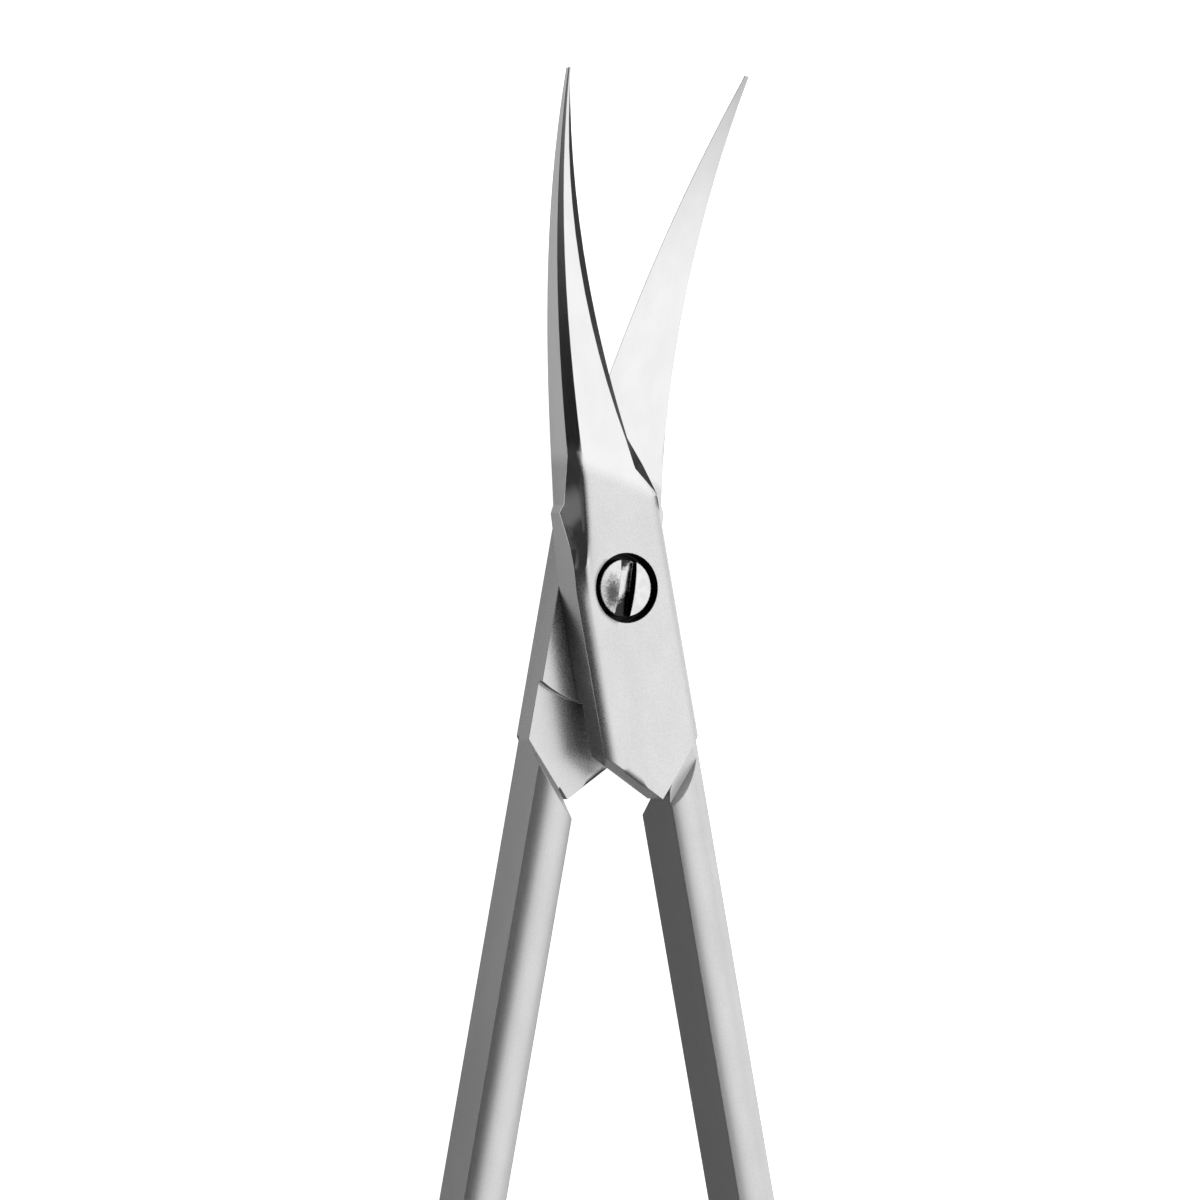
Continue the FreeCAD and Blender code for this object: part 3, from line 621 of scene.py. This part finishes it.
@dataclass
class SteelHalf:
    """One half of the scissors, with its blade, joint plate, shank and finger ring.

    Attributes:
        node: Name of the solid and of its body.
        side: Which half it is.
        finish: Its steel.
        layout: Where the finishes lie on it.
        open_angle: Degrees that the half is turned from closed.
        parting_height: Height of the parting plane above the table, in millimetres.
        smooth_angle: Edges flatter than this many degrees are shaded as one surface.
        crown_lean: How far the shank's crown leans to the right, as a slope.
    """

    node: str
    side: Side
    finish: SteelFinish = field(default_factory=SteelFinish)
    layout: HalfLayout = field(default_factory=HalfLayout)
    open_angle: float = 11.0
    parting_height: float = 2.05
    smooth_angle: float = 8.0
    crown_lean: float = 0.03

    def build(self) -> bpy.types.Object:
        """Makes the dressed copy of the half.

        Returns:
            The new piece.
        """
        piece = dressed_copy(self.node, self.smooth_angle)
        piece.data.materials.append(self.make_steel())
        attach(piece, self.node)
        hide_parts(self.node)
        return piece

    def make_steel(self) -> bpy.types.Material:
        """Lays out the half's steel.

        Returns:
            The material.
        """
        finish = self.finish
        material = new_material("%s_steel" % self.node)
        bench = ShaderBench(material.node_tree)
        place = self.find_place(bench)
        masks = self.make_masks(bench, place)
        grain = bench.noise(place.where, finish.grain_per_mm, finish.grain_detail)
        brush = bench.noise(place.where, finish.brush_per_mm, finish.brush_detail)
        texture = bench.blend(bench.product(masks.shank, finish.brush_share), grain, brush)
        # Painted dark reflection: the sheen of the bevel, and part of that of the V end, is darkened.
        sheen = bench.most(masks.bevel, bench.product(masks.vee, finish.vee_reflection_share))
        bench.finish_steel(self.make_tone(bench, place, masks, texture),
                           self.make_roughness(bench, masks, texture, brush),
                           bench.blend(sheen, 1.0, finish.bevel_dark_reflection),
                           self.make_normal(bench, place, masks, texture))
        return material

    def frame_rotation(self) -> Triple:
        """Angles in radians from the piece as it lies to the half's own closed frame."""
        return 0.0, 0.0 if self.side is Side.FRONT else math.pi, math.radians(-self.open_angle)

    def find_place(self, bench: ShaderBench) -> HalfPlace:
        """Coordinates and normal in the half's own closed frame.

        Args:
            bench: Material that they are for.

        Returns:
            The place and what is measured from it.
        """
        layout = self.layout
        height = -self.parting_height if self.side is Side.FRONT else self.parting_height
        source = bench.add("ShaderNodeTexCoord")
        where = bench.add("ShaderNodeMapping", vector_type="POINT")
        where.inputs["Scale"].default_value = (1 / MM,) * 3
        where.inputs["Rotation"].default_value = self.frame_rotation()
        where.inputs["Location"].default_value = (0.0, 0.0, height)
        bench.feed(where.inputs["Vector"], source.outputs["Object"])
        facing = bench.add("ShaderNodeMapping", vector_type="VECTOR")
        facing.inputs["Rotation"].default_value = self.frame_rotation()
        bench.feed(facing.inputs["Vector"], source.outputs["Normal"])
        x, y, z = bench.parts(where.outputs[0])
        side, ahead, up = bench.parts(facing.outputs[0])
        across = bench.math("ADD", bench.product(x, layout.ridge_normal[0]),
                            bench.product(y, layout.ridge_normal[1]))
        relief = bench.math("ADD", bench.product(y, layout.relief_slope), layout.relief_side)
        return HalfPlace(where.outputs[0], x, y, z, side, ahead, up,
                         bench.math("SUBTRACT", across, layout.ridge_reach),
                         bench.reach(x, y), bench.math("SUBTRACT", x, relief))

    def make_masks(self, bench: ShaderBench, place: HalfPlace) -> HalfMasks:
        """Finds out which finish each point has.

        Args:
            bench: Material that they are for.
            place: Where the point lies.

        Returns:
            The masks.
        """
        layout = self.layout
        outer_blade = bench.ramp(place.past_ridge, layout.blade_start)
        inner_blade = bench.product(bench.ramp(place.radius, layout.disc_rim.moved(layout.bearing_radius)),
                                    bench.ramp(place.y, layout.inner_start))
        relief = bench.product(bench.ramp(place.off_relief, layout.relief_edge),
                               bench.ramp(place.y, layout.relief_start))
        blade = bench.blend(bench.ramp(place.up, layout.outer_facing), inner_blade,
                            bench.most(outer_blade, relief))
        past_vee = bench.math("SUBTRACT", bench.math("ABSOLUTE", place.x),
                              bench.math("ADD", place.y, layout.vee_reach))
        shank = bench.ramp(past_vee, layout.shank_start)
        flat = bench.ramp(bench.math("ABSOLUTE", place.up), layout.flat_facing)
        bevel = bench.product(bench.ramp(place.side, layout.bevel_facing),
                              bench.ramp(place.past_ridge, layout.bevel_start))
        chamfer = bench.product(bench.ramp(place.side, layout.chamfer_facing),
                                bench.ramp(place.up, layout.chamfer_up_facing),
                                bench.ramp(place.past_ridge, layout.chamfer_start))
        vee = bench.product(bench.ramp(place.ahead, layout.vee_facing),
                            bench.ramp(place.y, layout.vee_limit))
        bore = bench.product(bench.ramp(place.radius, layout.bore_rim.moved(layout.bore_radius)),
                             bench.ramp(place.z, layout.bore_depth.moved(layout.plate_height)))
        ring = bench.ramp(place.y, layout.ring_start)
        off_ring = bench.math("SUBTRACT", 1.0, ring)
        crown = bench.product(shank, off_ring, flat)
        return HalfMasks(outer_blade, blade, shank, flat, bevel, chamfer, vee, bore, ring, off_ring, crown)

    def make_wall_tone(self, bench: ShaderBench, place: HalfPlace, masks: HalfMasks) -> Socket:
        """Grey of the side walls, darkened as painted shade, with painted light low on the plate's spine
        side.

        Args:
            bench: Material that it is for.
            place: Where the point lies.
            masks: Which finish the point has.

        Returns:
            The socket with the grey.
        """
        finish, layout = self.finish, self.layout
        inner_wall = bench.product(bench.ramp(place.side, layout.inner_wall_facing), masks.off_ring)
        outer_wall = bench.product(bench.ramp(place.side, layout.outer_wall_facing), masks.off_ring)
        on_plate = bench.math("SUBTRACT", 1.0, bench.most(masks.shank, masks.outer_blade), clamp=True)
        on_plate = bench.product(on_plate, bench.ramp(place.side, layout.plate_wall_facing))
        loss = bench.product(outer_wall, bench.ramp(place.y, layout.wall_fade, finish.wall_loss))
        # Painted shade: the side walls are darkened, and the outer wall darkens further along the half.
        tone = bench.product(finish.wall_painted_shade, bench.math("SUBTRACT", 1.0, loss))
        # Painted shade: the wall that looks at the other shank is darkened further.
        tone = bench.blend(bench.product(masks.shank, inner_wall), tone, finish.shade_wall_tone)
        # Painted light on the plate's spine side below the screw, turning into painted shade beside and
        # above it.
        plate_tone = bench.ramp(place.y, layout.neck_fade, (finish.spine_wall_painted_light, finish.neck_wall_painted_shade))
        return bench.blend(on_plate, tone, plate_tone)

    def make_tone(self, bench: ShaderBench, place: HalfPlace, masks: HalfMasks, texture: Socket) -> Socket:
        """Grey of the half.

        Args:
            bench: Material that it is for.
            place: Where the point lies.
            masks: Which finish the point has.
            texture: Grain of the satin faces.

        Returns:
            The socket with the grey.
        """
        finish, layout = self.finish, self.layout
        cloud = bench.noise(place.where, finish.cloud_per_mm, finish.cloud_detail)
        flat_tone = bench.blend(masks.blade, finish.plate_tone, finish.blade_tone)
        tone = bench.blend(masks.flat, self.make_wall_tone(bench, place, masks), flat_tone)
        shade = bench.blend(masks.blade, bench.ramp(texture, NOISE, finish.shade_spread), 1.0)
        # Painted shade where the shank's crown falls away at its outer brow.
        brow = bench.product(masks.crown, bench.ramp(place.x, layout.brow.moved(layout.outer_reach)))
        tone = bench.product(tone, shade, bench.ramp(cloud, NOISE, finish.haze_spread),
                             # Painted shade on the chamfer along the blade's spine.
                             bench.blend(masks.chamfer, 1.0, finish.chamfer_shade_share),
                             # Painted shade on the V end of the plate.
                             bench.blend(masks.vee, 1.0, finish.vee_shade_share),
                             bench.blend(brow, 1.0, finish.brow_shade_share))
        # Painted dark reflection on the bevel along the cutting edge.
        tone = bench.blend(masks.bevel, tone, finish.bevel_dark_reflection)
        # Painted shade in the recess round the screw's head.
        return bench.blend(masks.bore, tone, finish.bore_painted_shade)

    def make_roughness(self, bench: ShaderBench, masks: HalfMasks, texture: Socket, brush: Socket) -> Socket:
        """Roughness of the half.

        Args:
            bench: Material that it is for.
            masks: Which finish the point has.
            texture: Grain of the satin faces.
            brush: Brush lines of the blade.

        Returns:
            The socket with the roughness.
        """
        finish = self.finish
        satin = bench.blend(masks.shank, finish.plate_roughness, finish.shank_roughness)
        satin = bench.math("ADD", satin, bench.ramp(texture, NOISE, finish.satin_spread))
        polish = bench.ramp(brush, NOISE, finish.polish_spread.moved(finish.blade_roughness))
        return bench.blend(masks.bevel, bench.blend(masks.blade, satin, polish), finish.bevel_roughness)

    def make_normal(self, bench: ShaderBench, place: HalfPlace, masks: HalfMasks, texture: Socket) -> Socket:
        """Normal of the half, with broken edges, soft rolls and grain.

        Args:
            bench: Material that it is for.
            place: Where the point lies.
            masks: Which finish the point has.
            texture: Grain of the satin faces.

        Returns:
            The socket with the normal.
        """
        finish, layout = self.finish, self.layout
        spine_roll = bench.product(bench.ramp(place.x, layout.spine_roll_outer),
                                   bench.ramp(place.x, layout.spine_roll_inner),
                                   bench.ramp(place.past_ridge, layout.spine_roll_end))
        ridge = bench.product(bench.ramp(bench.math("ABSOLUTE", place.past_ridge), layout.ridge_band),
                              bench.ramp(place.z, layout.ridge_height))
        radius = bench.blend(bench.most(spine_roll, ridge), finish.edge_radius, finish.roll_radius)
        radius = bench.blend(masks.ring, radius, finish.ring_radius)
        normal = bench.round_edge(radius, finish.edge_samples)
        relief_roll = bench.product(bench.ramp(place.off_relief, layout.relief_roll),
                                    bench.ramp(place.z, layout.relief_roll_height),
                                    bench.ramp(place.y, layout.relief_roll_start),
                                    bench.ramp(place.past_ridge, layout.relief_roll_end))
        to_spine = Euler(self.frame_rotation()).to_matrix()[0] * -finish.roll_tilt
        normal = bench.leaned(normal, to_spine, relief_roll)
        normal = bench.leaned(normal, Vector((self.crown_lean, 0.0, 0.0)), masks.crown)
        strength = bench.blend(masks.blade, finish.plate_relief, finish.blade_relief)
        bump = bench.add("ShaderNodeBump")
        bump.inputs["Distance"].default_value = finish.grain_height
        bench.feed(bump.inputs["Strength"], strength)
        bench.feed(bump.inputs["Height"], texture)
        bench.feed(bump.inputs["Normal"], normal)
        return bump.outputs[0]


@dataclass
class PivotScrew:
    """Slotted screw on which the halves turn.

    Attributes:
        node: Name of the solid and of its body.
        finish: Its steel.
        smooth_angle: Edges flatter than this many degrees are shaded as one surface.
    """

    node: str = "pivot_screw"
    finish: ScrewFinish = field(default_factory=ScrewFinish)
    smooth_angle: float = 25.0

    def build(self) -> bpy.types.Object:
        """Makes the dressed copy of the screw.

        Returns:
            The new piece.
        """
        piece = dressed_copy(self.node, self.smooth_angle)
        piece.data.materials.append(self.make_steel())
        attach(piece, self.node)
        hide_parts(self.node)
        return piece

    def make_steel(self) -> bpy.types.Material:
        """Lays out the screw's polished steel, with a painted dark reflection on its head and painted shade
        in its slot.

        Returns:
            The material.
        """
        finish = self.finish
        material = new_material("screw_steel_polished")
        bench = ShaderBench(material.node_tree)
        source = bench.add("ShaderNodeTexCoord")
        where = bench.add("ShaderNodeMapping", vector_type="POINT")
        where.inputs["Scale"].default_value = (1 / MM,) * 3
        bench.feed(where.inputs["Vector"], source.outputs["Object"])
        _, _, up = bench.parts(source.outputs["Normal"])
        wear = bench.noise(where.outputs[0], finish.wear_per_mm, finish.wear_detail)
        speck = bench.noise(where.outputs[0], finish.speck_per_mm, finish.speck_detail)
        # Painted shade on the slot's walls and painted shadow on its floor, with a darker sheen there.
        slot = self.slot_shade_mask(bench, where.outputs[0], up, speck)
        tone = bench.ramp(wear, NOISE, finish.tone_spread.moved(finish.tone))
        # Painted dark reflection on one side of the head.
        tone = bench.blend(self.dark_reflection_mask(bench, where.outputs[0], speck), tone, finish.dark_reflection_tone)
        bench.finish_steel(bench.blend(slot, tone, finish.slot_shade_tone),
                           bench.ramp(wear, NOISE, finish.roughness_spread.moved(finish.roughness)),
                           bench.blend(slot, 1.0, finish.slot_shade_tint),
                           bench.round_edge(finish.edge_radius, finish.edge_samples))
        return material

    def slot_shade_mask(self, bench: ShaderBench, where: Socket, up: Socket, speck: Socket) -> Socket:
        """Painted shade in the slot: on its walls, and as a shadow at both ends of its floor.

        Args:
            bench: Material that it is for.
            where: Place in millimetres.
            up: Part of the normal along the screw's axis.
            speck: Noise that makes the shadow's rim ragged.

        Returns:
            The socket with the mask.
        """
        finish = self.finish
        x, y, z = bench.parts(where)
        wall = bench.product(bench.ramp(bench.math("ABSOLUTE", up), finish.slot_wall_facing),
                             bench.ramp(bench.reach(x, y), finish.slot_wall_radius))
        along = bench.math("ADD", y, bench.ramp(speck, NOISE, finish.shadow_ragged))
        across = bench.math("SUBTRACT", x, finish.shadow_middle)
        along = bench.math("SUBTRACT", along, bench.product(across, finish.shadow_slope))
        # Painted shadow at both ends of the slot's floor.
        end_shadow = bench.most(bench.ramp(along, finish.shadow_low), bench.ramp(along, finish.shadow_high))
        floor = bench.product(bench.ramp(z, finish.slot_floor_height), end_shadow)
        return bench.product(bench.most(wall, floor), bench.ramp(z, finish.slot_limit))

    def dark_reflection_mask(self, bench: ShaderBench, where: Socket, speck: Socket) -> Socket:
        """Painted dark reflection on one side of the head.

        Args:
            bench: Material that it is for.
            where: Place in millimetres.
            speck: Noise that makes the rim ragged.

        Returns:
            The socket with the mask.
        """
        finish = self.finish
        offsets = [bench.math("DIVIDE", bench.math("SUBTRACT", place, middle), size) for place, middle, size
                   in zip(bench.parts(where), finish.dark_reflection_middle, finish.dark_reflection_size)]
        spread = bench.math("ADD", bench.reach(*offsets), bench.ramp(speck, NOISE, finish.dark_reflection_ragged))
        return bench.ramp(spread, finish.dark_reflection_fade, finish.dark_reflection_share)


def new_material(name: str) -> bpy.types.Material:
    """Starts a material with nodes.

    Args:
        name: Its name.

    Returns:
        The material.
    """
    material = bpy.data.materials.new(name)
    material.use_nodes = True
    return material


def dressed_copy(node: str, smooth_angle: float) -> bpy.types.Object:
    """Copies a solid's mesh, welds it and shades its curves smooth.

    Args:
        node: Name of the solid.
        smooth_angle: Edges flatter than this many degrees are shaded as one surface.

    Returns:
        The copy, at the origin.
    """
    bpy.ops.object.select_all(action="DESELECT")
    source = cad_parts[node]
    piece = bpy.data.objects.new(node + "_dressed", source.data.copy())
    piece.data.materials.clear()
    bpy.context.collection.objects.link(piece)
    bpy.context.view_layer.objects.active = piece
    piece.select_set(True)
    bpy.ops.object.mode_set(mode="EDIT")
    bpy.ops.mesh.select_all(action="SELECT")
    bpy.ops.mesh.remove_doubles(threshold=WELD_DISTANCE)
    bpy.ops.mesh.customdata_custom_splitnormals_clear()
    bpy.ops.object.mode_set(mode="OBJECT")
    bpy.ops.object.shade_smooth_by_angle(angle=math.radians(smooth_angle))
    piece.select_set(False)
    return piece


@dataclass(frozen=True)
class StudioLight:
    """Soft light of the studio. Spans are parts of the unit direction, and levels are strengths.

    Attributes:
        box: Directions from the dim side to the soft box on the right.
        box_levels: Light on the dim side and from the soft box.
        box_rim: Directions of the soft box's far rim.
        box_rim_levels: Factors on the light there.
        far: Directions in which the light falls off beyond the tips.
        far_levels: Factors on the light there.
        near: Directions in which the light falls off beyond the rings.
        near_levels: Factors on the light there.
        horizon: Heights at which the pale horizon ends and is full.
        horizon_sides: Directions on the dim side at which the horizon starts and is full.
        horizon_level: Light of the horizon.
        far_wall: Directions of the pale wall beyond the tips.
        far_wall_levels: Light of that wall.
        dim_wall: Directions of the grey wall on the dim side.
        dim_wall_levels: Light of that wall.
    """

    box: Span = Span(-0.28, 0.14)
    box_levels: Span = Span(0.04, 1.25)
    box_rim: Span = Span(0.80, 1.0)
    box_rim_levels: Span = Span(1.0, 0.75)
    far: Span = Span(0.35, 0.9)
    far_levels: Span = Span(1.0, 0.55)
    near: Span = Span(-0.35, -0.95)
    near_levels: Span = Span(1.0, 0.5)
    horizon: Span = Span(0.32, 0.10)
    horizon_sides: Span = Span(-0.9, -0.5)
    horizon_level: float = 0.45
    far_wall: Span = Span(0.36, 0.64)
    far_wall_levels: Span = Span(0.0, 0.55)
    dim_wall: Span = Span(-0.78, -0.95)
    dim_wall_levels: Span = Span(0.0, 0.20)


@dataclass
class Studio:
    """White table, soft box overhead and the photograph's camera.

    Attributes:
        light: Light of the studio.
        view_lean: Degrees that the camera leans from straight above, towards -X.
        aim: Point in millimetres that the middle of the picture shows.
        distance: Camera distance in millimetres.
        field_width: Width in millimetres of the picture at that point.
        sensor_width: Width in millimetres of the camera's sensor.
        clip: Nearest and farthest distance in metres that the camera shows.
        floor_size: Side of the table in metres.
        floor_gap: Air in metres between the table and the flat that rests on it.
        floor_tone: Linear grey of the table.
        floor_glow: Light that the table adds to keep the background white.
    """

    light: StudioLight = field(default_factory=StudioLight)
    view_lean: float = 28.0
    aim: Triple = (-0.42, -0.6, 2.05)
    distance: float = 290.0
    field_width: float = 60.0
    sensor_width: float = 36.0
    clip: Tuple[float, float] = (0.01, 10.0)
    floor_size: float = 3.0
    floor_gap: float = 0.02 * MM
    floor_tone: float = 0.9
    floor_glow: float = 0.86

    def build(self) -> None:
        """Makes the floor, the light and the camera."""
        self.make_floor()
        self.make_world()
        self.make_camera()

    def make_floor(self) -> None:
        """Lays a white table that stays white to the camera and keeps the shadow."""
        bpy.ops.object.select_all(action="DESELECT")
        bpy.ops.mesh.primitive_plane_add(size=self.floor_size, location=(0.0, 0.0, 0.0))
        table = bpy.context.active_object
        table.name = "table"
        low = min(CAD_BOX[0].z, 0.0)
        for corner in table.data.vertices:
            corner.co.z = low - self.floor_gap
        material = new_material("table_white")
        bench = ShaderBench(material.node_tree)
        paint = bench.add("ShaderNodeBsdfDiffuse")
        paint.inputs["Color"].default_value = (self.floor_tone,) * 3 + (1.0,)
        glow = bench.add("ShaderNodeEmission")
        rays = bench.add("ShaderNodeLightPath")
        seen = bench.most(rays.outputs["Is Camera Ray"], rays.outputs["Is Glossy Ray"],
                          rays.outputs["Is Transmission Ray"])
        bench.feed(glow.inputs["Strength"], bench.product(seen, self.floor_glow))
        both = bench.add("ShaderNodeAddShader")
        bench.feed(both.inputs[0], paint.outputs[0])
        bench.feed(both.inputs[1], glow.outputs[0])
        out = bench.add("ShaderNodeOutputMaterial")
        bench.feed(out.inputs["Surface"], both.outputs[0])
        table.data.materials.append(material)

    def make_world(self) -> None:
        """Hangs a soft box over the right side and leaves the camera's side of the studio dim.

        A pale horizon, a pale wall beyond the tips and a grey wall on the dim side add to it.
        """
        light = self.light
        world = bpy.data.worlds.new("studio")
        bpy.context.scene.world = world
        world.use_nodes = True
        bench = ShaderBench(world.node_tree)
        place = bench.add("ShaderNodeTexCoord")
        right, far, up = bench.parts(place.outputs["Generated"])
        level = bench.product(bench.ramp(right, light.box, light.box_levels),
                              bench.ramp(right, light.box_rim, light.box_rim_levels),
                              bench.ramp(far, light.far, light.far_levels),
                              bench.ramp(far, light.near, light.near_levels))
        horizon = bench.product(bench.ramp(up, light.horizon), bench.ramp(right, light.horizon_sides))
        level = bench.blend(horizon, level, bench.most(level, light.horizon_level))
        level = bench.most(level, bench.ramp(far, light.far_wall, light.far_wall_levels),
                           bench.ramp(right, light.dim_wall, light.dim_wall_levels))
        glow = bench.add("ShaderNodeBackground")
        bench.feed(glow.inputs["Color"], bench.grey(level))
        out = bench.add("ShaderNodeOutputWorld")
        bench.feed(out.inputs["Surface"], glow.outputs[0])

    def make_camera(self) -> None:
        """Sets the camera at the photograph's viewing angle."""
        data = bpy.data.cameras.new("photo_camera")
        camera = bpy.data.objects.new("photo_camera", data)
        bpy.context.collection.objects.link(camera)
        lean = math.radians(self.view_lean)
        back = Vector((-math.sin(lean), 0.0, math.cos(lean)))
        across = Vector((math.cos(lean), 0.0, math.sin(lean)))
        up = Vector((0.0, 1.0, 0.0))
        camera.rotation_mode = "QUATERNION"
        camera.rotation_quaternion = Matrix((across, up, back)).transposed().to_quaternion()
        camera.location = (Vector(self.aim) + back * self.distance) * MM
        data.sensor_width = self.sensor_width
        data.lens = data.sensor_width * self.distance / self.field_width
        data.clip_start, data.clip_end = self.clip
        bpy.context.scene.camera = camera
        bpy.context.scene.view_settings.view_transform = "Standard"


def main() -> None:
    """Builds the pieces in order and the studio round them."""
    logging.basicConfig(level=logging.INFO)
    rear_half = SteelHalf("rear_half", Side.REAR, crown_lean=0.15)
    front_half = SteelHalf("front_half", Side.FRONT)
    for part in (rear_half, front_half, PivotScrew()):
        piece = part.build()
        log.info("%s: %d faces", piece.name, len(piece.data.polygons))
    Studio().build()


if __name__ == "__main__":
    main()
